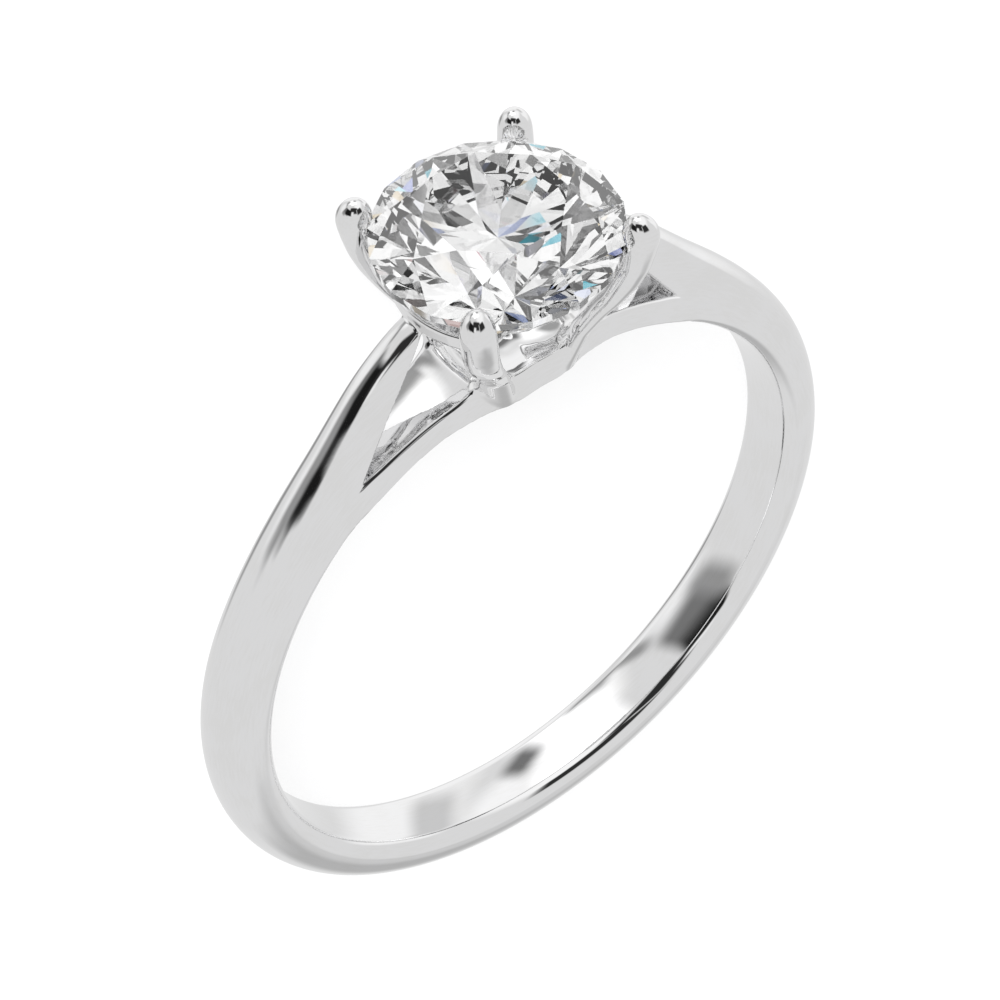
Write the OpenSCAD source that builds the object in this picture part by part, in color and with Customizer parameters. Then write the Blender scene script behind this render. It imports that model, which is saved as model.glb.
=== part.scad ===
// Solitaire ring in white gold with one round brilliant, lying on its side.
// The ring is drawn upright first: X across the finger, Y along the finger,
// Z from the finger to the stone, with the centre of the bore at zero.
// It is then laid on its side, so that the stone's edge and the band touch the
// ground. Sizes are in millimetres and angles in degrees.

/* [Band] */
// Inside diameter of the band
finger_d = 16.3; // [15.5:0.1:18]
// Depth by which the inner face is domed towards the finger
dome_h = 0.1; // [0.06:0.01:0.14]
// Width of the band opposite the stone
back_w = 1.87; // [1.7:0.01:2]
// Thickness of the band opposite the stone
back_t = 1.44; // [1.3:0.01:1.6]
// Width of the band at the sides of the finger
side_w = 2.0; // [1.8:0.01:2.1]
// Thickness of the band at the sides of the finger
side_t = 1.32; // [1.2:0.01:1.5]
// Share of the thickness that is rounded on the outside
crown_share = 0.67; // [0.5:0.01:0.75]
// Width of the inner face between its rounded edges
inner_w = 1.24; // [1.2:0.02:1.4]

/* [Diamond] */
// Diameter across the corners of the girdle
stone_d = 5.96; // [5.8:0.02:6]
// Height of the girdle's lower edge above the band's inner edges
stone_rise = 3.87; // [3.8:0.01:4]
// Thickness of the girdle
girdle_t = 0.19; // [0.1:0.01:0.25]
// Height of the crown, from the girdle to the table
crown_h = 0.89; // [0.8:0.01:0.95]
// Depth of the pavilion, from the girdle to the point
pavilion_h = 2.58; // [2.5:0.01:2.65]
// Diameter of the table across its corners
table_d = 3.4; // [3.2:0.02:3.6]

/* [Head] */
// Widest part of a claw
claw_w = 0.86; // [0.7:0.02:0.95]
// Height of the claw tips above the girdle's lower edge
claw_top = 0.9; // [0.86:0.01:1]
// Outside radius of the two cross rails
rail_r = 2.56; // [2.5:0.01:2.7]
// Height of a cross rail
rail_h = 0.42; // [0.3:0.02:0.5]
// Height of the bridge above the band's inner edges
bridge_t = 0.75; // [0.6:0.01:0.82]
// Width of the bridge between the claws
bridge_w = 2.86; // [2.6:0.02:3]
// Height of the pad that carries the claws
pad_t = 0.9; // [0.86:0.01:1]
// Depth of the dish in the pad under the stone's point
dish_h = 0.4; // [0.3:0.02:0.5]

/* [Hidden] */
$fn = 64;
// Gap between the stone and its seat, the seat's radius at its upper end and its
// clearances, as shares of the gap, below the point and above the crown
seat_gap = 0.04;
seat_top_r = 2.3;
point_share = 3;
crown_clear = 3.5;
bore_r = finger_d / 2;
// Radius of the band's inner edges, from which all heights are measured
base_r = bore_r + dome_h;
// Depth by which the band is drawn inside that radius before the bore is cut
into_bore = 0.15;
girdle_z = base_r + stone_rise;
stone_r = stone_d / 2;
back_crown = crown_share * back_t;
side_crown = crown_share * side_t;
gold = [0.80, 0.80, 0.81];
ice = [0.93, 0.95, 0.98];

// Stations of the band and shoulders, from the stone round to the back: angle from
// the stone, height of the top, height of the inner edge, half width at the crown's
// edge, half width at the inner edge, height of the crown
STATIONS = [
    [11, 3.12, 2.74, 0.34, 0.38, 0.20],
    [13, 3.13, 2.86, 0.36, 0.42, 0.22],
    [16, 3.02, 2.42, 0.40, 0.46, 0.24],
    [20, 2.74, 1.78, 0.42, 0.50, 0.26],
    [24, 2.46, 1.27, 0.44, 0.54, 0.28],
    [28, 2.12, 0.91, 0.47, 0.59, 0.30],
    [32, 1.87, 0.58, 0.51, 0.66, 0.33],
    [35, 1.73, 0.26, 0.55, 0.71, 0.37],
    [38, 1.62, -0.05, 0.59, 0.75, 0.41],
    [42, 1.51, -into_bore, 0.64, 0.81, 0.45],
    [50, 1.37, -into_bore, 0.71, 0.88, 0.54],
    [60, 1.31, -into_bore, 0.79, 0.94, 0.66],
    [75, 1.31, -into_bore, 0.91, 0.98, 0.80],
    [90, side_t, -into_bore, side_w / 2, side_w / 2, side_crown],
    [135, (side_t + back_t) / 2, -into_bore, (side_w + back_w) / 4, (side_w + back_w) / 4,
        (side_crown + back_crown) / 2],
    [180, back_t, -into_bore, back_w / 2, back_w / 2, back_crown]];
last_row = len(STATIONS) - 1;
// Angle where the round part starts and the number of its sections
round_from = 42;
round_steps = 50;
// Smallest rounding of an inner edge, and how far the rounding's middle point is from
// its corner
least_soft = 0.1;
soft_corner = 0.3;
// Inward run of the band's wall per height, where it is drawn into the bore
into_slope = 2;

// Claw from foot to tip: height, outer face from the stone's axis, share of the
// claw's width, depth towards the stone
tip_h = stone_rise + claw_top;
tip_r = 3.16;
CLAW = [
    [0.45, 1.95, 0.94, 0.62],
    [1.10, 2.10, 0.94, 0.60],
    [1.44, 2.30, 0.94, 0.62],
    [1.94, 2.66, 0.95, 0.70],
    [2.40, 3.04, 0.96, 0.86],
    [2.88, 3.34, 0.98, 0.98],
    [3.38, 3.52, 1.00, 0.96],
    [3.87, 3.64, 1.00, 0.92],
    [4.20, 3.70, 0.96, 0.96],
    [4.44, 3.62, 0.87, 0.95],
    [tip_h - 0.17, 3.47, 0.68, 0.74],
    [tip_h - 0.05, 3.32, 0.44, 0.46],
    [tip_h, tip_r, 0.14, 0.14]];
claw_sides = 14;

// Half width of the bridge at distances from the middle of the head
BRIDGE_PLAN = [
    [0.6, bridge_w / 2],
    [1.05, bridge_w / 2 - 0.1],
    [1.75, 1.1],
    [2.65, 0.95],
    [3.55, 0.87],
    [4.3, 0.82],
    [5.4, 0.5]];
bridge_angle = 40;
// Angle to which the pad reaches on each side and the diameter of its dish
pad_angle = 11;
dish_d = 2.3;

// Cross rails: height, depth, reach to each side and edge bevel
rail_rise = 2.89;
rail_depth = 0.40;
rail_angle = 41;
rail_bevel = 0.08;

// Facets of the stone: share of the crown's slope that the stars take, and share of
// the pavilion that the lower halves take
star_share = 0.52;
lower_share = 0.77;

// Lying pose: the tilt at which the girdle and the back of the band touch the ground
// together, the bore's centre above the ground, and the middle of the ring's length
rest_tilt = atan((stone_r - back_w / 2) / (girdle_z + base_r + back_t - back_crown));
rest_z = stone_r * cos(rest_tilt) - girdle_z * sin(rest_tilt);
tip_reach = (base_r + tip_h) * cos(rest_tilt) + tip_r * sin(45) * sin(rest_tilt);
back_reach = (base_r + back_t) * cos(rest_tilt);
mid_y = (tip_reach - back_reach) / 2;

// Places the upright ring in its lying pose
module lying() {
    translate([0, -mid_y, rest_z]) rotate([rest_tilt - 90, 0, 0]) children();
}

// Row of the table at an angle, with the columns blended in a straight line
function station(a) =
    let (i = len([for (k = [1:last_row - 1]) if (STATIONS[k][0] <= a) k]),
         low = STATIONS[i], high = STATIONS[i + 1],
         t = (a - low[0]) / (high[0] - low[0]))
    low + (high - low) * t;

// Half of a section of the band, as [across, height], from the inner edge up to the
// top
function half_section(row) =
    let (top = row[1], inner = row[2], crease = row[3], foot = row[4], crown = row[5],
         base = max(inner, 0),
         soft = max(least_soft, foot - inner_w / 2))
    concat(
        [[foot - soft - (base - inner) * into_slope, inner]],
        [[foot - soft * soft_corner, base + soft * soft_corner]],
        [[foot, base + soft]],
        [for (a = [0:22.5:67.5]) [crease * cos(a), top - crown + crown * sin(a)]]);

// Whole section: one half, the top point and the other half mirrored
function section(row) =
    let (h = half_section(row), n = len(h))
    concat(h, [[0, row[1]]], [for (i = [n - 1:-1:0]) [-h[i][0], h[i][1]]]);

// Section placed on the ring at an angle from the stone, turning to +X
function ring_section(a) =
    let (row = station(a <= 180 ? a : 360 - a))
    [for (p = section(row)) [(base_r + p[1]) * sin(a), p[0], (base_r + p[1]) * cos(a)]];

// Closed skin over rings of points that all have the same number of points
module skin(rings) {
    n = len(rings[0]);
    m = len(rings);
    points = [for (r = rings) for (p = r) p];
    sides = [for (i = [0:m - 2]) for (j = [0:n - 1]) for (half = [0:1])
        let (a = i * n + j, b = i * n + (j + 1) % n)
        half == 0 ? [a, a + n, b] : [b, a + n, b + n]];
    first = [[for (j = [0:n - 1]) j]];
    last = [[for (j = [n - 1:-1:0]) (m - 1) * n + j]];
    polyhedron(points, concat(sides, first, last), convexity = 6);
}

// Band and both shoulders as one horseshoe, from one rail round to the other
module band() {
    ends = [for (row = STATIONS) if (row[0] < round_from) row[0]];
    round_part = [for (k = [0:round_steps]) round_from + (360 - 2 * round_from) * k / round_steps];
    angles = concat(ends, round_part, [for (i = [len(ends) - 1:-1:0]) 360 - ends[i]]);
    skin([for (a = angles) ring_section(a)]);
}

// Bridge over the finger, with a plan that flares towards the claws, and on it the
// pad that carries them
module bridge() {
    far = 2 * (base_r + pad_t);
    plan = concat(
        [for (p = BRIDGE_PLAN) [p[0], p[1]]],
        [for (i = [len(BRIDGE_PLAN) - 1:-1:0]) [BRIDGE_PLAN[i][0], -BRIDGE_PLAN[i][1]]],
        [for (p = BRIDGE_PLAN) [-p[0], -p[1]]],
        [for (i = [len(BRIDGE_PLAN) - 1:-1:0]) [-BRIDGE_PLAN[i][0], BRIDGE_PLAN[i][1]]]);
    intersection() {
        rotate([90, 0, 0]) linear_extrude(height = 2 * bridge_w, center = true)
            for (layer = [[bridge_t, bridge_angle], [pad_t, pad_angle]]) intersection() {
                difference() {
                    circle(r = base_r + layer[0]);
                    circle(r = base_r - into_bore);
                }
                polygon([[0, 0], [far * sin(layer[1]), far * cos(layer[1])],
                    [-far * sin(layer[1]), far * cos(layer[1])]]);
            }
        linear_extrude(height = far) polygon(plan);
    }
}

// One claw on the diagonal at the given angle round the stone
module claw(turn) {
    rotate([0, 0, turn]) skin([for (c = CLAW)
        [for (j = [0:claw_sides - 1]) let (a = 360 * j / claw_sides)
            [c[1] - c[3] / 2 + c[3] / 2 * cos(a), claw_w / 2 * c[2] * sin(a), base_r + c[0]]]]);
}

// Cross rail between two claws, where a shoulder lands
module rail(turn) {
    in_r = rail_r - rail_depth;
    b = rail_bevel;
    rotate([0, 0, turn - rail_angle]) translate([0, 0, base_r + rail_rise])
        rotate_extrude(angle = 2 * rail_angle)
            polygon([[in_r + b, -rail_h / 2], [rail_r - b, -rail_h / 2],
                [rail_r, b - rail_h / 2], [rail_r, rail_h / 2 - b],
                [rail_r - b, rail_h / 2], [in_r + b, rail_h / 2],
                [in_r, rail_h / 2 - b], [in_r, b - rail_h / 2]]);
}

// Room that the stone needs in the claws, a little larger than the stone
module seat() {
    r = stone_r + seat_gap;
    slope = crown_h / (stone_r - table_d / 2);
    girdle_top = girdle_z + girdle_t;
    top = girdle_top + (r - seat_top_r) * slope + crown_clear * seat_gap;
    rotate_extrude()
        polygon([[0, girdle_z - pavilion_h - point_share * seat_gap], [r, girdle_z - seat_gap],
            [r, girdle_top + seat_gap / 2], [seat_top_r, top], [0, top]]);
}

// All the soldered metal
module mounting() {
    color(gold) lying() difference() {
        union() {
            band();
            bridge();
            for (turn = [45:90:315]) claw(turn);
            for (turn = [0, 180]) rail(turn);
        }
        rotate([90, 0, 0]) cylinder(h = 4 * bridge_w, r = bore_r, center = true, $fn = 128);
        seat();
        translate([0, 0, base_r + pad_t]) scale([1, 1, 2 * dish_h / dish_d]) sphere(d = dish_d, $fn = 32);
    }
}

// Round brilliant: table, 8 stars, 8 kites, 16 upper halves, girdle, 16 lower halves
// and 8 mains that meet in a point
function ring_of(n, r, z, first) =
    [for (k = [0:n - 1]) let (a = first + 360 / n * k) [r * cos(a), r * sin(a), z]];

module diamond() {
    eighth = 22.5;
    table_r = table_d / 2;
    slope = crown_h / (stone_r - table_r);
    table_z = girdle_z + girdle_t + crown_h;
    inset = table_r * cos(eighth);
    star_r = inset + star_share * (stone_r - inset);
    star_z = table_z - (star_r * cos(eighth) - table_r) * slope;
    lower_r = stone_r * (1 - lower_share);
    point_z = girdle_z - pavilion_h;
    lower_z = point_z + lower_r * cos(eighth) * pavilion_h / stone_r;
    points = concat(
        ring_of(8, table_r, table_z, eighth),
        ring_of(8, star_r, star_z, 2 * eighth),
        ring_of(16, stone_r, girdle_z + girdle_t, eighth),
        ring_of(16, stone_r, girdle_z, eighth),
        ring_of(8, lower_r, lower_z, 2 * eighth),
        [[0, 0, point_z]]);
    star = 8;
    upper = 16;
    lower = 32;
    half = 48;
    point = 56;
    faces = concat(
        [[for (k = [7:-1:0]) k]],
        [for (k = [0:7]) [k, (k + 1) % 8, star + k]],
        [for (k = [0:7]) [k, star + k, upper + 2 * k, star + (k + 7) % 8]],
        [for (k = [0:7]) [star + k, upper + 2 * k + 1, upper + 2 * k]],
        [for (k = [0:7]) [star + k, upper + (2 * k + 2) % 16, upper + 2 * k + 1]],
        [for (k = [0:15]) [upper + k, upper + (k + 1) % 16, lower + (k + 1) % 16, lower + k]],
        [for (k = [0:7]) [half + k, lower + 2 * k, lower + 2 * k + 1]],
        [for (k = [0:7]) [half + k, lower + 2 * k + 1, lower + (2 * k + 2) % 16]],
        [for (k = [0:7]) [half + k, point, half + (k + 7) % 8, lower + 2 * k]]);
    color(ice) lying() polyhedron(points, faces, convexity = 2);
}

mounting();
diamond();
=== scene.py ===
import math
import bpy
import numpy as np
from mathutils import Matrix, Vector


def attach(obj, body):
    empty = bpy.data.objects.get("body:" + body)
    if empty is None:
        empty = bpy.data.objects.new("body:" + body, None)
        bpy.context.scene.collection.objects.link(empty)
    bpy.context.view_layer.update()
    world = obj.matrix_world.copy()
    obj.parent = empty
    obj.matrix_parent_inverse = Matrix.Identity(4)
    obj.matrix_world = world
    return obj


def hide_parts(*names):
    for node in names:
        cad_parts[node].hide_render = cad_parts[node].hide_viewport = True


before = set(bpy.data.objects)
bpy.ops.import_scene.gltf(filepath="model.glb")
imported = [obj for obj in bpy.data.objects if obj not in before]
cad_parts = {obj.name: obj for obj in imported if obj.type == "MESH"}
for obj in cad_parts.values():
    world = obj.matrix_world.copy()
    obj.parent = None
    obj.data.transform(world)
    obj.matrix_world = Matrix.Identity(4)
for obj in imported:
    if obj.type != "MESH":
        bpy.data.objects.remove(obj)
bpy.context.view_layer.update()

scene = bpy.context.scene

# The shapes below are drawn with the ring upright, in millimetres: X across the finger,
# Y along it and Z from the finger to the stone. The matrix below turns them to how it lies.
ringPose = {
    "boreRadius": 8.15,
    "baseRadius": 8.25,  # heights in the tables below are measured from here
    "girdleHeight": 12.12,  # lower edge of the girdle over the bore's centre
    "girdleRadius": 2.98,
    "backWidth": 1.87,
    "backThickness": 1.44,
    "backCrown": 0.9648,  # rounded part of the band's thickness, opposite the stone
    "tipHeight": 13.02,
    "tipRadius": 3.16,
}
diagonal = math.sqrt(0.5)  # the claws stand on the diagonals


# upright millimetres to the frame's metres
def lyingMatrix(p):
    rise = p["girdleRadius"] - p["backWidth"] / 2
    run = p["girdleHeight"] + p["baseRadius"] + p["backThickness"] - p["backCrown"]
    tilt = math.atan(rise / run)
    c, s = math.cos(tilt), math.sin(tilt)
    restZ = p["girdleRadius"] * c - p["girdleHeight"] * s
    tipReach = p["tipHeight"] * c + p["tipRadius"] * diagonal * s
    backReach = (p["baseRadius"] + p["backThickness"]) * c
    midY = (tipReach - backReach) / 2
    return Matrix(((1, 0, 0, 0), (0, s, c, -midY), (0, -c, s, restZ), (0, 0, 0, 1000))) * 0.001


lying = lyingMatrix(ringPose)
turnOnly = lying.to_3x3() * 1000


# The white gold mounting is one field of signed distance, which is then meshed. Each of its
# parts has a table of stations along it, and is read between them.
tiny = 1e-6  # keeps divisions safe
farOff = 1.0  # a distance that leaves part of a field out


# the stations' columns on a fine even grid, smoothed so that reflections run clean
def smoothColumns(shape):
    rows, blur, step = np.array(shape["stations"], float), shape["blur"], shape["gridStep"]
    grid = np.arange(rows[0, 0], rows[-1, 0] + step / 2, step)
    reach = int(4 * blur / step)
    weights = np.exp(-0.5 * (np.arange(-reach, reach + 1) * step / blur) ** 2)
    weights /= weights.sum()
    columns = []
    for k in range(1, rows.shape[1]):
        values = np.interp(grid, rows[:, 0], rows[:, k])
        before = 2 * values[0] - values[reach:0:-1]
        after = 2 * values[-1] - values[-2:-reach - 2:-1]
        columns.append(np.convolve(np.concatenate([before, values, after]), weights, "valid"))
    return grid, columns


# the two fields' common part and their union, with a rounding of radius r at the joint
def roundMax(a, b, r):
    return np.minimum(np.maximum(a, b), -r) + np.hypot(np.maximum(a + r, 0), np.maximum(b + r, 0))


def roundMin(a, b, r):
    return np.maximum(np.minimum(a, b), r) - np.hypot(np.maximum(r - a, 0), np.maximum(r - b, 0))


def ellipseDistance(u, v, a, b):
    k0 = np.hypot(u / a, v / b)
    k1 = np.hypot(u / (a * a), v / (b * b))
    return k0 * (k0 - 1) / np.maximum(k1, tiny)


stoneShape = {
    "radius": ringPose["girdleRadius"], "girdleHeight": ringPose["girdleHeight"],
    "girdle": 0.19, "crown": 0.89, "pavilion": 2.58,
    "table": 1.70,  # radius at the table's corners
    "starShare": 0.52,  # share of the crown's slope that the stars take
    "lowerShare": 0.77,  # share of the pavilion that the lower halves take
    "seatGap": 0.015, "seatFrom": 9,  # gap to the metal, and the height above which it is cut back
}


# the stone's outline, which the metal is cut back from
def stoneDistance(r, z):
    s = stoneShape
    top = s["girdleHeight"] + s["girdle"]
    slant = math.hypot(s["pavilion"], s["radius"])
    pavilion = (r * s["pavilion"] - (z - s["girdleHeight"] + s["pavilion"]) * s["radius"]) / slant
    run = s["radius"] - s["table"]
    slant = math.hypot(s["crown"], run)
    crown = ((r - s["radius"]) * s["crown"] + (z - top) * run) / slant
    return np.maximum(np.maximum(pavilion, crown), r - s["radius"])


bandShape = {
    # angle from the stone, height of the top, height of the inner edge, half width at the
    # crown's edge, half width at the inner edge, height of the crown
    "stations": [
        (8, 3.20, 3.00, 0.36, 0.40, 0.22),
        (11, 3.17, 2.74, 0.37, 0.41, 0.22),
        (14.3, 3.09, 2.60, 0.39, 0.44, 0.23),
        (18, 2.86, 2.10, 0.41, 0.47, 0.25),
        (22, 2.60, 1.52, 0.43, 0.50, 0.27),
        (26, 2.28, 1.08, 0.455, 0.56, 0.29),
        (30, 1.99, 0.74, 0.49, 0.62, 0.32),
        (34, 1.76, 0.40, 0.54, 0.68, 0.36),
        (39, 1.58, 0.00, 0.60, 0.77, 0.42),
        (45, 1.44, 0.00, 0.66, 0.84, 0.49),
        (52, 1.345, 0.00, 0.725, 0.89, 0.57),
        (60, 1.31, 0.00, 0.79, 0.94, 0.66),
        (75, 1.31, 0.00, 0.91, 0.98, 0.80),
        (90, 1.315, 0.00, 0.998, 0.998, 0.88),
        (135, 1.38, 0.00, 0.966, 0.966, 0.92),
        (180, 1.436, 0.00, 0.931, 0.931, 0.965),
    ],
    "blur": 1.6, "gridStep": 0.1,  # smoothing of the table, in degrees
    "legX": 3.91, "legZ": 8.70,  # a point on the shoulder's inner edge
    "legDirection": (0.839, 0.544),
    "legUntil": 38,  # from this angle on, the bridge fills what lies under the edge
    "noseX": 2.40, "noseRound": 0.09, "noseUntil": 60,  # the shoulder's end beside the head
    "edgeRound": 0.07,
    "innerHalf": 0.62,  # half width of the inner face between its rounded edges
    "innerDome": 0.04,  # how far the inner face bulges towards the finger
    "domeFrom": 34, "domeTo": 50,  # angles between which the bulge comes to run into the edges
    "leastEdge": 0.07,
    "leastHeight": 0.05, "shareLimit": 1.6,  # bounds of the side wall's run below its crown
}
bandGrid, bandColumns = smoothColumns(bandShape)
topSlope = np.gradient(bandColumns[0], np.radians(bandGrid))


def bandField(ax, ay, z, rho, angle):
    b = bandShape
    top, inner, crease, foot, crown = (np.interp(angle, bandGrid, c) for c in bandColumns)
    slope = np.interp(angle, bandGrid, topSlope) / np.maximum(rho, 1)
    height = rho - ringPose["baseRadius"]
    depth = (top - height) / np.sqrt(1 + slope * slope)
    ridge = ellipseDistance(ay, np.maximum(crown - depth, 0), crease, crown)
    drop = np.maximum(top - crown - inner, b["leastHeight"])
    share = np.clip((top - crown - height) / drop, 0, b["shareLimit"])
    side = ay - (crease + (foot - crease) * share)
    section = np.where(depth < crown, ridge, side)
    leg = (ax - b["legX"]) * b["legDirection"][0] + (z - b["legZ"]) * b["legDirection"][1]
    leg = np.where(angle < b["legUntil"], leg, farOff)
    shoulder = roundMax(section, -leg, b["edgeRound"])
    nose = np.where(angle < b["noseUntil"], b["noseX"] - ax, -farOff)
    return roundMax(shoulder, nose, b["noseRound"])


bridgeShape = {
    # distance from the middle of the head, half width at the bore, height of the rim and
    # how far the middle stands above it, or lies below it as a dish under the stone's point
    "stations": [
        (0, 1.37, 0.80, -0.40),
        (0.3, 1.38, 0.80, -0.40),
        (0.57, 1.39, 0.80, -0.36),
        (0.88, 1.31, 0.81, -0.27),
        (1.1, 1.25, 0.82, -0.17),
        (1.3, 1.18, 0.84, -0.08),
        (1.57, 1.11, 0.82, 0.00),
        (1.82, 1.06, 0.67, 0.04),
        (2.1, 1.00, 0.59, 0.06),
        (2.4, 0.94, 0.56, 0.07),
        (2.9, 0.89, 0.55, 0.07),
        (3.4, 0.865, 0.55, 0.07),
        (4.15, 0.835, 0.57, 0.07),
        (4.6, 0.805, 0.60, 0.07),
        (5.0, 0.785, 0.60, 0.07),
        (5.4, 0.74, 0.50, 0.07),
        (5.8, 0.50, 0.36, 0.05),
        (6.2, 0.10, 0.20, 0.05),
    ],
    "blur": 0.10, "gridStep": 0.02,
    "until": 6.1,  # where it has run into the band
    "lean": 0.13,  # how fast the side walls close upwards
    "wallScale": 0.97,  # turns a leaning wall's offset into its distance
    "edgeRound": 0.10,
    "fillet": [(3.2, 0.10), (4.4, 0.02)],  # roundness of the joint with the band, by distance
}
bridgeGrid, bridgeColumns = smoothColumns(bridgeShape)


def bridgeField(ax, ay, z, rho):
    s = bridgeShape
    wide, rim, rise = (np.interp(ax, bridgeGrid, c) for c in bridgeColumns)
    height = rho - ringPose["baseRadius"]
    wide = wide - s["lean"] * height
    share = np.clip(ay / wide, 0, 1)
    top = height - rim - rise * (1 - share ** 2)
    field = roundMax(top, (ay - wide) * s["wallScale"], s["edgeRound"])
    return np.where((z > 0) & (ax < s["until"]), field, farOff)


clawShape = {
    # height, middle from the stone's axis, half depth, half width
    "stations": [
        (7.9, 1.31, 0.27, 0.42),
        (8.4, 1.47, 0.27, 0.42),
        (8.9, 1.66, 0.26, 0.41),
        (9.37, 1.845, 0.25, 0.40),
        (10.04, 2.27, 0.27, 0.40),
        (10.50, 2.62, 0.305, 0.405),
        (11.03, 2.93, 0.36, 0.415),
        (11.50, 3.13, 0.365, 0.425),
        (11.95, 3.22, 0.395, 0.43),
        (12.30, 3.265, 0.425, 0.42),
        (12.48, 3.265, 0.430, 0.405),
        (12.70, 3.25, 0.430, 0.40),
        (13.2, 3.18, 0.430, 0.40),
    ],
    "blur": 0.08, "gridStep": 0.01,
    "lowest": 7.95,
    "domeFrom": 12.42, "domeHeight": 0.57,  # the rounded tip
    "fillet": [(8.2, 0.04), (8.8, 0.22)],  # roundness of the foot, by height
}
clawGrid, clawColumns = smoothColumns(clawShape)
clawLean = np.gradient(clawColumns[0], clawGrid)


def clawField(ax, ay, z):
    s = clawShape
    u, v = (ax + ay) * diagonal, (ax - ay) * diagonal
    mid, deep, wide = (np.interp(z, clawGrid, c) for c in clawColumns)
    lean = np.interp(z, clawGrid, clawLean)
    over = np.maximum(z - s["domeFrom"], 0) / s["domeHeight"]
    k0 = np.sqrt(((u - mid) / deep) ** 2 + (v / wide) ** 2 + over ** 2)
    k1 = np.sqrt(((u - mid) / deep ** 2) ** 2 + (v / wide ** 2) ** 2 + (over / s["domeHeight"]) ** 2)
    squeeze = 1 + lean * lean * np.abs(u - mid) / (np.abs(u - mid) + np.abs(v) + tiny)
    field = k0 * (k0 - 1) / np.maximum(k1, tiny) / np.sqrt(squeeze)
    return np.maximum(field, s["lowest"] - z)


railShape = {
    "radius": 2.355, "height": 11.14,  # its middle, from the stone's axis and the bore's
    "halfDepth": 0.20, "halfHeight": 0.21,
    "round": 0.09, "fillet": 0.05,
}


def railField(ax, ay, z):
    s = railShape
    u = np.abs(np.hypot(ax, ay) - s["radius"]) - s["halfDepth"]
    v = np.abs(z - s["height"]) - s["halfHeight"]
    bar = roundMax(u, v, s["round"])
    return np.maximum(bar, (ay - ax) * diagonal)


# all the metal: claws and rails join the band softly, and the bore and the stone's seat are
# cut from it
def metalField(x, y, z):
    ax, ay = np.abs(x), np.abs(y)
    rho = np.hypot(x, z)
    angle = np.degrees(np.arctan2(ax, z))
    band = bandField(ax, ay, z, rho, angle)
    bridge = bridgeField(ax, ay, z, rho)
    claw = clawField(ax, ay, z)
    rail = railField(ax, ay, z)
    head = roundMin(claw, rail, railShape["fillet"])
    head = roundMin(head, band, railShape["fillet"])
    body = roundMin(band, bridge, np.interp(ax, *zip(*bridgeShape["fillet"])))
    body = np.minimum(roundMin(body, claw, np.interp(z, *zip(*clawShape["fillet"]))), head)
    s = bandShape
    share = np.clip((angle - s["domeFrom"]) / (s["domeTo"] - s["domeFrom"]), 0, 1)
    spread = (ay / s["innerHalf"]) ** 2
    dome = s["innerDome"] * (np.minimum(spread, 1) + share * np.maximum(spread - 1, 0))
    edge = np.maximum(np.interp(angle, bandGrid, bandColumns[3]) - s["innerHalf"], s["leastEdge"])
    body = roundMax(body, ringPose["boreRadius"] + dome - rho, edge)
    seat = stoneShape["seatGap"] - stoneDistance(np.hypot(ax, ay), z)
    return np.maximum(body, np.where(z > stoneShape["seatFrom"], seat, -farOff))


metalMesh = {
    "fineStep": 0.35, "fineUntil": 42,  # degrees between samples in the head, and its reach
    "coarseStep": 1.5, "growth": 1.12,  # widest step in the band, and how fast steps grow to it
    "cell": 0.06,  # between samples outwards from the finger and along it
    "lowest": 8.04, "highest": 13.6, "halfWidth": 2.82,
    "pulls": 3,  # times that the points are pulled onto the surface
    "longestPull": 0.5, "leastSlope": 0.05,  # share of a cell, and the slope's least square
    "slopeStep": 0.003, "normalStep": 0.012,
}


def fieldSlope(points, step):
    slope = np.empty_like(points)
    for k in range(3):
        shift = np.zeros(3)
        shift[k] = step
        ahead, behind = points + shift, points - shift
        slope[:, k] = (metalField(*ahead.T) - metalField(*behind.T)) / (2 * step)
    return slope


# samples round the ring, close in the head and wide in the band
def angleSteps(m):
    fine = np.arange(0, m["fineUntil"], m["fineStep"])
    steps, a, step = list(fine), fine[-1], m["fineStep"]
    while a < 180:
        step = min(step * m["growth"], m["coarseStep"])
        a += step
        steps.append(a)
    steps = np.array(steps)
    start = m["fineUntil"]
    tail = steps > start
    steps[tail] = start + (steps[tail] - start) * (180 - start) / (steps[-1] - start)
    return np.radians(np.concatenate([-steps[:0:-1], steps[:-1]]))


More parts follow.
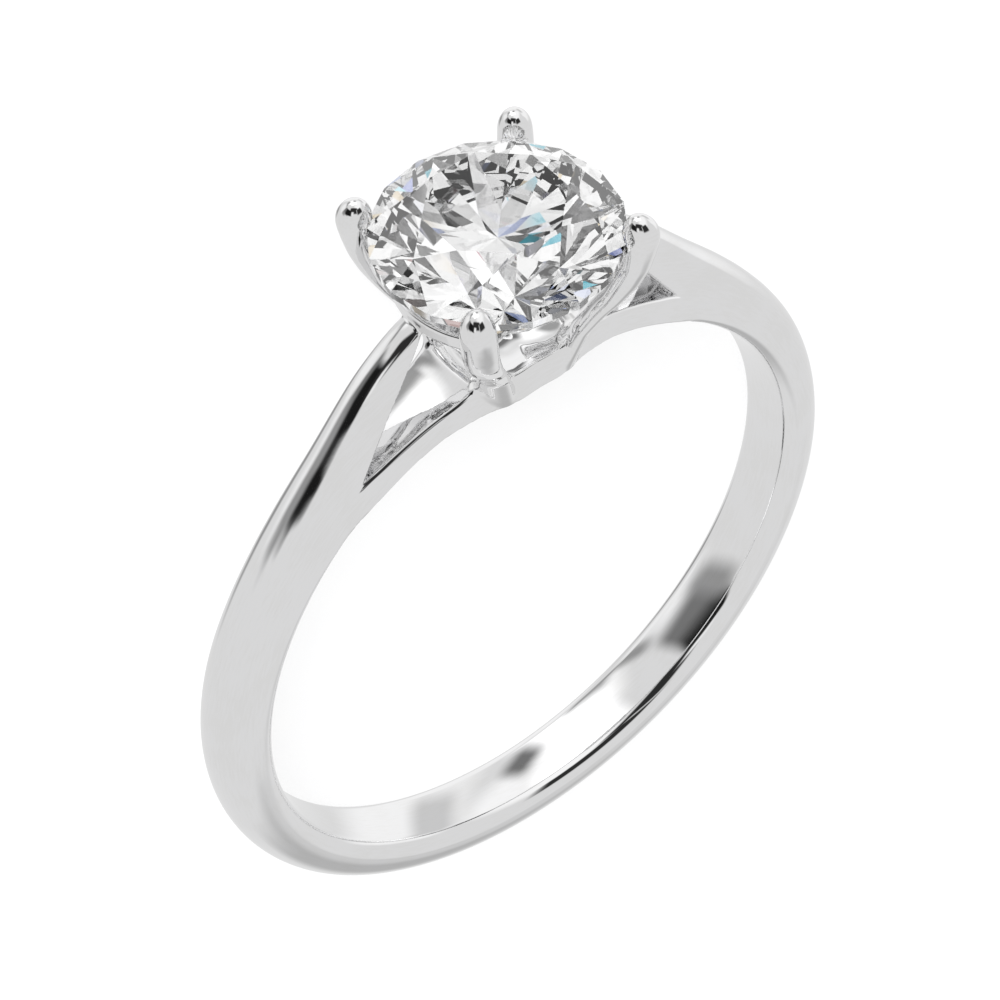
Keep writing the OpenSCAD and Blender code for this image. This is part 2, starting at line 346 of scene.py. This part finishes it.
# Surface nets over a grid that closes on itself along its first axis: it gives averaged
# points in grid units and the quads between them.
def netSurface(field):
    n = field.shape[0]
    ring = np.concatenate([field, field[:1]])
    inside = field < 0
    cells = (n, field.shape[1] - 1, field.shape[2] - 1)
    total = np.zeros(cells + (3,), np.float32)
    count = np.zeros(cells, np.float32)

    def corner(d):
        return ring[d[0]:d[0] + cells[0], d[1]:d[1] + cells[1], d[2]:d[2] + cells[2]]

    for axis in range(3):
        for u in (0, 1):
            for v in (0, 1):
                low = [0, 0, 0]
                low[(axis + 1) % 3], low[(axis + 2) % 3] = u, v
                high = list(low)
                high[axis] = 1
                f0, f1 = corner(low), corner(high)
                cross = (f0 < 0) != (f1 < 0)
                t = np.where(cross, f0 / np.where(cross, f0 - f1, 1), 0)
                for k in range(3):
                    total[..., k] += np.where(cross, t if k == axis else low[k], 0)
                count += cross
    used = count > 0
    index = np.full(cells, -1, np.int64)
    index[used] = np.arange(used.sum())
    points = np.argwhere(used) + total[used] / count[used][:, None]
    quads = []
    for axis in range(3):
        here, beyond = inside, np.roll(inside, -1, 0)
        if axis:
            size = inside.shape[axis]
            here = np.take(inside, range(size - 1), axis)
            beyond = np.take(inside, range(1, size), axis)
        change = np.argwhere(here != beyond)
        flip = here[tuple(change.T)]
        u, v = (axis + 1) % 3, (axis + 2) % 3
        corners = []
        for du, dv in ((0, 0), (1, 0), (1, 1), (0, 1)):
            at = change.copy()
            at[:, u] -= 1 - du
            at[:, v] -= 1 - dv
            at[:, 0] %= n
            corners.append(index[tuple(at.T)])
        quad = np.stack(corners, 1)
        quad[flip] = quad[flip][:, ::-1]
        quads.append(quad)
    return points, np.concatenate(quads)


def buildMetal():
    m = metalMesh
    angles = angleSteps(m)
    radii = np.arange(m["lowest"], m["highest"], m["cell"])
    count = int(m["halfWidth"] / m["cell"])
    across = (np.arange(-count, count) + 0.5) * m["cell"]
    upper = across[across > 0]
    a, r = angles[:, None, None], radii[None, :, None]
    shape = (len(angles), len(radii), len(upper))
    places = (r * np.sin(a), upper[None, None, :], r * np.cos(a))
    half = metalField(*(np.broadcast_to(p, shape).astype(np.float32) for p in places))
    field = np.concatenate([half[..., ::-1], half], 2)
    points, quads = netSurface(field)
    closed = np.append(angles, angles[0] + 2 * math.pi)
    angle = np.interp(points[:, 0], np.arange(len(closed)), closed)
    radius = np.interp(points[:, 1], np.arange(len(radii)), radii)
    y = np.interp(points[:, 2], np.arange(len(across)), across)
    points = np.stack([radius * np.sin(angle), y, radius * np.cos(angle)], 1)
    for _ in range(m["pulls"]):
        slope = fieldSlope(points, m["slopeStep"])
        steep = np.maximum((slope ** 2).sum(1), m["leastSlope"])[:, None]
        move = metalField(*points.T)[:, None] * slope / steep
        length = np.linalg.norm(move, axis=1)[:, None]
        points -= move * np.minimum(1, m["longestPull"] * m["cell"] / np.maximum(length, tiny))
    slope = fieldSlope(points, m["normalStep"])
    normals = slope / np.maximum(np.linalg.norm(slope, axis=1)[:, None], tiny)
    return points, quads, normals


def meshPiece(name, points, faces, normals=None):
    mesh = bpy.data.meshes.new(name)
    mesh.from_pydata(points.tolist(), [], faces)
    mesh.transform(lying)
    if normals is not None:
        mesh.shade_smooth()
        turned = normals @ np.array(turnOnly).T
        mesh.normals_split_custom_set_from_vertices(turned.tolist())
    piece = bpy.data.objects.new(name, mesh)
    scene.collection.objects.link(piece)
    return piece


points, quads, normals = buildMetal()
mounting = meshPiece("whiteGoldMounting", points, quads.tolist(), normals)
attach(mounting, "root")
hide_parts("mounting")
print("mounting:", len(points), "points,", 2 * len(quads), "triangles")


# the diamond, facet by facet
def brilliant(s):
    eighth = math.pi / 8
    girdleTop = s["girdleHeight"] + s["girdle"]
    slope = s["crown"] / (s["radius"] - s["table"])
    tableZ = girdleTop + s["crown"]
    inset = s["table"] * math.cos(eighth)
    starR = inset + s["starShare"] * (s["radius"] - inset)
    starZ = tableZ - (starR * math.cos(eighth) - s["table"]) * slope
    lowerR = s["radius"] * (1 - s["lowerShare"])
    pointZ = s["girdleHeight"] - s["pavilion"]
    lowerZ = pointZ + lowerR * math.cos(eighth) * s["pavilion"] / s["radius"]

    def circle(n, r, z, first):
        turn = first + 2 * math.pi / n * np.arange(n)
        return np.stack([r * np.cos(turn), r * np.sin(turn), np.full(n, z)], 1)

    points = np.concatenate([
        circle(8, s["table"], tableZ, eighth), circle(8, starR, starZ, 2 * eighth),
        circle(16, s["radius"], girdleTop, eighth), circle(16, s["radius"], s["girdleHeight"], eighth),
        circle(8, lowerR, lowerZ, 2 * eighth), [[0, 0, pointZ]]])
    star, upper, lower, half, point = 8, 16, 32, 48, 56  # where each circle's points start
    faces = [list(range(8))]
    for k in range(8):
        faces += [[k, star + k, (k + 1) % 8],
                  [k, star + (k + 7) % 8, upper + 2 * k, star + k],
                  [star + k, upper + 2 * k, upper + 2 * k + 1],
                  [star + k, upper + 2 * k + 1, upper + (2 * k + 2) % 16],
                  [half + k, lower + 2 * k + 1, lower + 2 * k],
                  [half + k, lower + (2 * k + 2) % 16, lower + 2 * k + 1],
                  [half + k, lower + 2 * k, half + (k + 7) % 8, point]]
    for k in range(16):
        faces += [[upper + k, lower + k, lower + (k + 1) % 16, upper + (k + 1) % 16]]
    return points, faces


points, faces = brilliant(stoneShape)
diamond = meshPiece("roundBrilliant", points, faces)
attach(diamond, "root")
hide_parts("diamond")
print("diamond:", len(faces), "facets")


def newMaterial(name):
    material = bpy.data.materials.new(name)
    material.use_nodes = True
    nodes, links = material.node_tree.nodes, material.node_tree.links
    return material, nodes, links, nodes["Principled BSDF"]


def groupWith(name, inputs, outputs):
    group = bpy.data.node_groups.new(name, "ShaderNodeTree")
    for way, sockets in (("INPUT", inputs), ("OUTPUT", outputs)):
        for label, kind in sockets:
            group.interface.new_socket(name=label, in_out=way, socket_type="NodeSocket" + kind)
    given = group.nodes.new("NodeGroupInput").outputs
    out = group.nodes.new("NodeGroupOutput").inputs
    return group, group.nodes, group.links, given, out


# a socket takes another node's output or a plain value
def feed(links, value, socket):
    if hasattr(value, "is_output"):
        links.new(value, socket)
    else:
        socket.default_value = value


def mathsIn(nodes, links):
    def maths(operation, *values):
        node = nodes.new("ShaderNodeMath")
        node.operation = operation
        for socket, value in zip(node.inputs, values):
            feed(links, value, socket)
        return node.outputs["Value"]
    return maths


def colourMix(nodes, links, factor, first, second):
    mix = nodes.new("ShaderNodeMix")
    mix.data_type = "RGBA"
    for value, socket in ((factor, mix.inputs["Factor"]), (first, mix.inputs[6]), (second, mix.inputs[7])):
        feed(links, value, socket)
    return mix.outputs[2]


def valueMix(nodes, links, factor, first, second):
    mix = nodes.new("ShaderNodeMix")
    for value, name in ((factor, "Factor"), (first, "A"), (second, "B")):
        feed(links, value, mix.inputs[name])
    return mix.outputs["Result"]


# the object's metres, turned upright and made millimetres
def uprightPlace(nodes, links):
    place = nodes.new("ShaderNodeMapping")
    turnBack = turnOnly.transposed()
    place.inputs["Location"].default_value = turnBack @ lying.to_translation() * -1000
    place.inputs["Rotation"].default_value = turnBack.to_euler()
    place.inputs["Scale"].default_value = (1000, 1000, 1000)
    links.new(nodes.new("ShaderNodeTexCoord").outputs["Object"], place.inputs["Vector"])
    upright = nodes.new("ShaderNodeSeparateXYZ")
    links.new(place.outputs["Vector"], upright.inputs["Vector"])
    return place, [upright.outputs[k] for k in "XYZ"]


# What the polishing wheel leaves: hairlines that run round the finger, a soft swirl under
# them, and the thin haze that both make. Scales are in marks a millimetre.
wheelMarks = {
    "arcScale": 1.3,  # marks are this much closer along the band than across it
    "lineDetail": 1, "swirlDetail": 0,
    "lineShare": 0.55, "swirlShare": 0.45,
    "hazeFrom": 0.4, "hazeTo": 0.68,
}


def polishGroup():
    group, nodes, links, given, out = groupWith("polishMarks", [
        ("Line Scale", "Float"), ("Swirl Scale", "Float"), ("Polished", "Float"), ("Hazed", "Float"),
        ("Mark Depth", "Float"), ("Clear Colour", "Color"), ("Hazed Colour", "Color")],
        [("Color", "Color"), ("Roughness", "Float"), ("Normal", "Vector")])
    maths = mathsIn(nodes, links)
    place, (x, y, z) = uprightPlace(nodes, links)
    radius = maths("SQRT", maths("ADD", maths("MULTIPLY", x, x), maths("MULTIPLY", z, z)))
    along = maths("MULTIPLY", maths("ARCTAN2", x, z), wheelMarks["arcScale"])
    around = nodes.new("ShaderNodeCombineXYZ")
    for socket, value in zip(around.inputs, (radius, y, along)):
        links.new(value, socket)
    lines = nodes.new("ShaderNodeTexNoise")
    lines.inputs["Detail"].default_value = wheelMarks["lineDetail"]
    links.new(around.outputs["Vector"], lines.inputs["Vector"])
    links.new(given["Line Scale"], lines.inputs["Scale"])
    swirl = nodes.new("ShaderNodeTexNoise")
    swirl.inputs["Detail"].default_value = wheelMarks["swirlDetail"]
    links.new(place.outputs["Vector"], swirl.inputs["Vector"])
    links.new(given["Swirl Scale"], swirl.inputs["Scale"])
    lineMarks = maths("MULTIPLY", lines.outputs["Fac"], wheelMarks["lineShare"])
    swirlMarks = maths("MULTIPLY", swirl.outputs["Fac"], wheelMarks["swirlShare"])
    both = maths("ADD", lineMarks, swirlMarks)
    haze = nodes.new("ShaderNodeMapRange")
    haze.interpolation_type = "SMOOTHSTEP"
    links.new(both, haze.inputs["Value"])
    haze.inputs["From Min"].default_value = wheelMarks["hazeFrom"]
    haze.inputs["From Max"].default_value = wheelMarks["hazeTo"]
    amount = haze.outputs["Result"]
    links.new(valueMix(nodes, links, amount, given["Polished"], given["Hazed"]), out["Roughness"])
    links.new(colourMix(nodes, links, amount, given["Clear Colour"], given["Hazed Colour"]), out["Color"])
    bump = nodes.new("ShaderNodeBump")
    links.new(given["Mark Depth"], bump.inputs["Distance"])
    links.new(both, bump.inputs["Height"])
    links.new(bump.outputs["Normal"], out["Normal"])
    return group


polishMarks = polishGroup()


def polishIn(nodes, look):
    marks = nodes.new("ShaderNodeGroup")
    marks.node_tree = polishMarks
    for socket, value in look.items():
        marks.inputs[socket].default_value = value
    return marks.outputs


goldLook = {
    "Line Scale": 16, "Swirl Scale": 1.1,
    "Polished": 0.015, "Hazed": 0.05,
    "Mark Depth": 0.0000004,
    "Clear Colour": (0.835, 0.835, 0.84, 1), "Hazed Colour": (0.815, 0.813, 0.812, 1),
}
material, nodes, links, shader = newMaterial("polishedWhiteGold")
marks = polishIn(nodes, goldLook)
links.new(marks["Color"], shader.inputs["Base Color"])
links.new(marks["Roughness"], shader.inputs["Roughness"])
links.new(marks["Normal"], shader.inputs["Normal"])
shader.inputs["Metallic"].default_value = 1
mounting.data.materials.append(material)

# The facets are clear and flawlessly polished, and the narrow rim between them is frosted.
diamondLook = {
    "ior": 2.417,
    "facets": (1, 1, 1, 1), "rim": (0.93, 0.94, 0.96, 1),
    "facetRoughness": 0.0, "rimRoughness": 0.16,
    "rimFrom": 2.93, "rimTo": 2.97,
}
material, nodes, links, shader = newMaterial("clearDiamond")
maths = mathsIn(nodes, links)
_, (x, y, _) = uprightPlace(nodes, links)
outward = maths("SQRT", maths("ADD", maths("MULTIPLY", x, x), maths("MULTIPLY", y, y)))
frost = nodes.new("ShaderNodeMapRange")
links.new(outward, frost.inputs["Value"])
frost.inputs["From Min"].default_value = diamondLook["rimFrom"]
frost.inputs["From Max"].default_value = diamondLook["rimTo"]
rimMask = frost.outputs["Result"]
rough = valueMix(nodes, links, rimMask, diamondLook["facetRoughness"], diamondLook["rimRoughness"])
links.new(rough, shader.inputs["Roughness"])
tone = colourMix(nodes, links, rimMask, diamondLook["facets"], diamondLook["rim"])
links.new(tone, shader.inputs["Base Color"])
shader.inputs["IOR"].default_value = diamondLook["ior"]
shader.inputs["Transmission Weight"].default_value = 1
diamond.data.materials.append(material)
print("materials:", material.name, "and", mounting.data.materials[0].name)

# The floor glows a little, so that it is as white as the paper in the photograph and only
# a light shadow shows on it. Polished metal mirrors the studio below, as on a glass table.
stageLook = {
    "floorSize": 0.6,
    "floor": (0.21, 0.21, 0.21, 1), "grain": (0.19, 0.19, 0.195, 1), "grainScale": 900,
    "roughness": 0.9, "glow": 0.78,
}
half = stageLook["floorSize"] / 2
corners = [(-half, -half, 0), (half, -half, 0), (half, half, 0), (-half, half, 0)]
mesh = bpy.data.meshes.new("floor")
mesh.from_pydata(corners, [], [(0, 1, 2, 3)])
floor = bpy.data.objects.new("floor", mesh)
scene.collection.objects.link(floor)
material, nodes, links, shader = newMaterial("paleFloor")
fibres = nodes.new("ShaderNodeTexNoise")
fibres.inputs["Scale"].default_value = stageLook["grainScale"]
links.new(nodes.new("ShaderNodeTexCoord").outputs["Object"], fibres.inputs["Vector"])
tone = colourMix(nodes, links, fibres.outputs["Fac"], stageLook["floor"], stageLook["grain"])
links.new(tone, shader.inputs["Base Color"])
shader.inputs["Roughness"].default_value = stageLook["roughness"]
shader.inputs["Specular IOR Level"].default_value = 0
shader.inputs["Emission Color"].default_value = (1, 1, 1, 1)
shader.inputs["Emission Strength"].default_value = stageLook["glow"]
clear = nodes.new("ShaderNodeBsdfTransparent")
path = nodes.new("ShaderNodeLightPath")
choose = nodes.new("ShaderNodeMixShader")
links.new(path.outputs["Is Glossy Ray"], choose.inputs["Fac"])
links.new(shader.outputs["BSDF"], choose.inputs[1])
links.new(clear.outputs["BSDF"], choose.inputs[2])
links.new(choose.outputs["Shader"], nodes["Material Output"].inputs["Surface"])
floor.data.materials.append(material)

# A broad, low lamp on the stone's side, which metal and stone don't mirror. It throws the
# light shadow behind the band.
keyLook = {"strength": 7, "spread": 40, "from": (-0.42, 0.85, 0.44)}
lamp = bpy.data.lights.new("key", "SUN")
lamp.energy = keyLook["strength"]
lamp.angle = math.radians(keyLook["spread"])
key = bpy.data.objects.new("key", lamp)
key.rotation_euler = Vector(keyLook["from"]).to_track_quat("Z", "Y").to_euler()
key.visible_glossy = key.visible_transmission = False
scene.collection.objects.link(key)
print("floor:", stageLook["floorSize"], "m wide, with its lamp")

# Panels of the studio, as the upright ring sees them: azimuth from its front towards +X,
# elevation, half width, half height, softness of the sides and of the top and bottom, all
# in degrees, and brightness. A later panel stands in front of the ones before it.
studioBase = 0.81
studioPanels = {
    "overhead": (60, 68, 45, 26, 14, 14, 1.10),
    "rightWall": (125, 5, 48, 26, 12, 12, 1.05),
    "leftWall": (-148, 18, 18, 14, 8, 8, 1.0),
    "rearTop": (178, 50, 17, 14, 11, 8, 1.5),
    "zenith": (165, 76, 18, 11, 8, 5, 1.8),
    "tableDark": (145, 48.5, 7, 6, 4.5, 4.5, 0.2),
    "greyRear": (-172, 39, 9, 9, 4, 4, 0.4),
    "greyUnder": (27, -75, 15, 18, 11, 11, 0.52),
    "lowBack": (-172, -19, 12, 9, 6, 7, 0.34),
    "greyLeft": (-106, 29, 21, 14, 7, 4, 0.2),
    "blackLeft": (-84, 31.5, 24, 13.5, 8, 3, 0.012),
    "blackLow": (-117, 14, 12, 6, 8, 5, 0.34),
    "blackMid": (-45, 47, 25, 19, 6, 6, 0.03),
    "blackRight": (6, 35, 20, 16, 5, 5, 0.03),
    "window": (-53, 30, 7, 9, 4, 4, 0.95),
    "slit": (-16, 35, 2, 14, 1.2, 5, 0.6),
    "greyBack": (-153, 39, 11, 3.5, 5, 3, 0.35),
    "greyRight": (114, 18, 15, 9, 7, 5, 0.68),
}
# What the stone's facets pick up is brighter and sharper, with coloured fringes and narrow
# slits for the fire that they give it.
stoneBase = 0.97
stonePanels = {
    "stoneLow": (0, -30, 80, 30, 10, 10, 0.72),
    "stoneBright": (65, 60, 26, 16, 3, 3, 1.2),
    "stoneTop": (-60, 76, 14, 7, 2, 2, 0.72),
    "stoneLeft": (-150, 50, 14, 12, 3, 3, 0.62),
    "stoneRear": (168, 76, 10, 6, 2, 2, 0.1),
    "fringeBlueLeft": (-105.5, 48, 19, 9, 1, 1, (0.50, 0.62, 1.05)),
    "fringeBlueMid": (-47.5, 51, 17, 13, 1, 1, (0.48, 0.55, 1.05)),
    "fringeAmberMid": (-43, 49, 17, 13, 1, 1, (1.05, 0.86, 0.55)),
    "fringeRoseRight": (4, 42.3, 13, 10, 1, 1, (1.0, 0.66, 0.62)),
    "stoneDarkLeft": (-103, 47, 19, 9, 1.5, 1.5, 0.01),
    "stoneDarkMid": (-45, 50, 17, 13, 1.5, 1.5, 0.0),
    "stoneDarkRight": (2, 43, 13, 10, 1.5, 1.5, 0.01),
    "stoneSlitLeft": (-73, 47, 1.6, 9, 0.4, 1.5, 1.1),
    "stoneSlitRight": (-20, 43, 1.6, 10, 0.4, 1.5, 1.1),
    "sparkTeal": (-82, 43, 4.0, 3.0, 0.8, 0.8, (0.03, 0.47, 0.60)),
    "sparkIndigo": (-60, 53, 2.4, 1.6, 0.5, 0.5, (0.20, 0.16, 0.50)),
    "sparkRose": (2, 46, 2.2, 1.6, 0.3, 0.3, (0.50, 0.18, 0.24)),
    "sparkSky": (47, 58, 2.0, 1.2, 0.3, 0.3, (0.45, 0.65, 1.1)),
    "sparkPlum": (15, 62, 1.8, 1.2, 0.3, 0.3, (0.60, 0.55, 0.95)),
    "sparkAqua": (-70, 77, 2.2, 1.4, 0.3, 0.3, (0.45, 0.80, 0.90)),
    "sparkPink": (-133, -14, 2.2, 1.6, 0.3, 0.3, (0.95, 0.60, 0.65)),
    "sparkBlue": (55, 42, 2.4, 0.8, 0.3, 0.3, (0.22, 0.36, 1.3)),
    "sparkViolet": (46, 36, 0.7, 2.2, 0.3, 0.3, (0.60, 0.38, 1.2)),
    "sparkYellow": (66, 38, 0.6, 1.6, 0.3, 0.3, (1.2, 1.05, 0.45)),
    "sparkRed": (112, 14, 1.8, 1.0, 0.3, 0.3, (1.25, 0.35, 0.42)),
    "sparkCyan": (131, 12, 1.0, 1.8, 0.3, 0.3, (0.25, 0.85, 1.25)),
    "sparkLilac": (-140, -38, 1.8, 1.0, 0.3, 0.3, (0.72, 0.55, 1.2)),
}


def ringDirection(azimuth, elevation):
    a, e = math.radians(azimuth), math.radians(elevation)
    middle = Vector((math.cos(e) * math.sin(a), -math.cos(e) * math.cos(a), math.sin(e)))
    side = Vector((math.cos(a), math.sin(a), 0))
    return turnOnly @ middle, turnOnly @ side, turnOnly @ middle.cross(side) * -1


# how much of a soft-edged rectangular panel lies in a direction
def panelGroup():
    group, nodes, links, given, out = groupWith("softPanel", [
        ("Direction", "Vector"), ("Middle", "Vector"), ("Side", "Vector"), ("Up", "Vector"),
        ("Half Width", "Float"), ("Half Height", "Float"),
        ("Side Softness", "Float"), ("Up Softness", "Float")], [("Mask", "Float")])
    maths = mathsIn(nodes, links)

    def dot(name):
        node = nodes.new("ShaderNodeVectorMath")
        node.operation = "DOT_PRODUCT"
        links.new(given["Direction"], node.inputs[0])
        links.new(given[name], node.inputs[1])
        return node.outputs["Value"]

    least = 0.001  # nothing behind the panel's middle is covered
    ahead = dot("Middle")
    safe = maths("MAXIMUM", ahead, least)
    mask = maths("GREATER_THAN", ahead, least)
    for name, size in (("Side", "Half Width"), ("Up", "Half Height")):
        soft = given[name + " Softness"]
        edge = nodes.new("ShaderNodeMapRange")
        edge.interpolation_type = "SMOOTHSTEP"
        links.new(maths("ABSOLUTE", maths("DIVIDE", dot(name), safe)), edge.inputs["Value"])
        links.new(maths("ADD", given[size], soft), edge.inputs["From Min"])
        links.new(maths("SUBTRACT", given[size], soft), edge.inputs["From Max"])
        mask = maths("MULTIPLY", mask, edge.outputs["Result"])
    links.new(mask, out["Mask"])
    return group


world = bpy.data.worlds.new("studio")
scene.world = world
world.use_nodes = True
nodes, links = world.node_tree.nodes, world.node_tree.links
background = nodes["Background"]
direction = nodes.new("ShaderNodeTexCoord").outputs["Generated"]
softPanel = panelGroup()


def studioFrom(base, panels):
    shade = (base, base, base, 1)
    for name, (azimuth, elevation, wide, high, sideSoft, upSoft, bright) in panels.items():
        panel = nodes.new("ShaderNodeGroup")
        panel.node_tree = softPanel
        panel.label = name
        links.new(direction, panel.inputs["Direction"])
        for socket, vector in zip(("Middle", "Side", "Up"), ringDirection(azimuth, elevation)):
            panel.inputs[socket].default_value = vector
        panel.inputs["Half Width"].default_value = math.tan(math.radians(wide))
        panel.inputs["Half Height"].default_value = math.tan(math.radians(high))
        panel.inputs["Side Softness"].default_value = math.radians(sideSoft)
        panel.inputs["Up Softness"].default_value = math.radians(upSoft)
        colour = bright if isinstance(bright, tuple) else (bright,) * 3
        shade = colourMix(nodes, links, panel.outputs["Mask"], shade, colour + (1,))
    return shade


# one light for what the metal mirrors, one for what the stone gathers, and plain white
# where the studio is seen straight
path = nodes.new("ShaderNodeLightPath")
links.new(studioFrom(studioBase, studioPanels), background.inputs["Color"])
shown = background
otherLights = {"Is Transmission Ray": studioFrom(stoneBase, stonePanels), "Is Camera Ray": (1, 1, 1, 1)}
for ray, colour in otherLights.items():
    light = nodes.new("ShaderNodeBackground")
    feed(links, colour, light.inputs["Color"])
    pick = nodes.new("ShaderNodeMixShader")
    links.new(path.outputs[ray], pick.inputs["Fac"])
    links.new(shown.outputs[0], pick.inputs[1])
    links.new(light.outputs["Background"], pick.inputs[2])
    shown = pick
links.new(shown.outputs["Shader"], nodes["World Output"].inputs["Surface"])
world.cycles.sampling_method = "NONE"  # mirrors and glass find the panels by themselves
print("studio:", len(studioPanels), "panels for the metal and", len(stonePanels), "for the stone")

# the photograph's camera, found from the ring's outlines in the upright frame
cameraShape = {
    "lens": 115.43, "sensor": 36.0, "nearest": 0.001, "farthest": 10,
    "place": (-29.431, -42.205, 63.375),
    "right": (0.79043, -0.61067, -0.04786),
    "up": (0.49050, 0.58422, 0.64659),
    "back": (-0.36689, -0.53456, 0.76133),
}
camera = bpy.data.objects.new("camera", bpy.data.cameras.new("camera"))
camera.data.lens = cameraShape["lens"]
camera.data.sensor_width = cameraShape["sensor"]
camera.data.clip_start, camera.data.clip_end = cameraShape["nearest"], cameraShape["farthest"]
axes = turnOnly @ Matrix([cameraShape[way] for way in ("right", "up", "back")]).transposed()
camera.matrix_world = Matrix.Translation(lying @ Vector(cameraShape["place"])) @ axes.to_4x4()
scene.collection.objects.link(camera)
scene.camera = camera
scene.view_settings.view_transform = "Standard"
scene.cycles.max_bounces = 16
scene.cycles.glossy_bounces = 8
scene.cycles.transmission_bounces = 12
print("camera at", [round(v, 4) for v in camera.location])
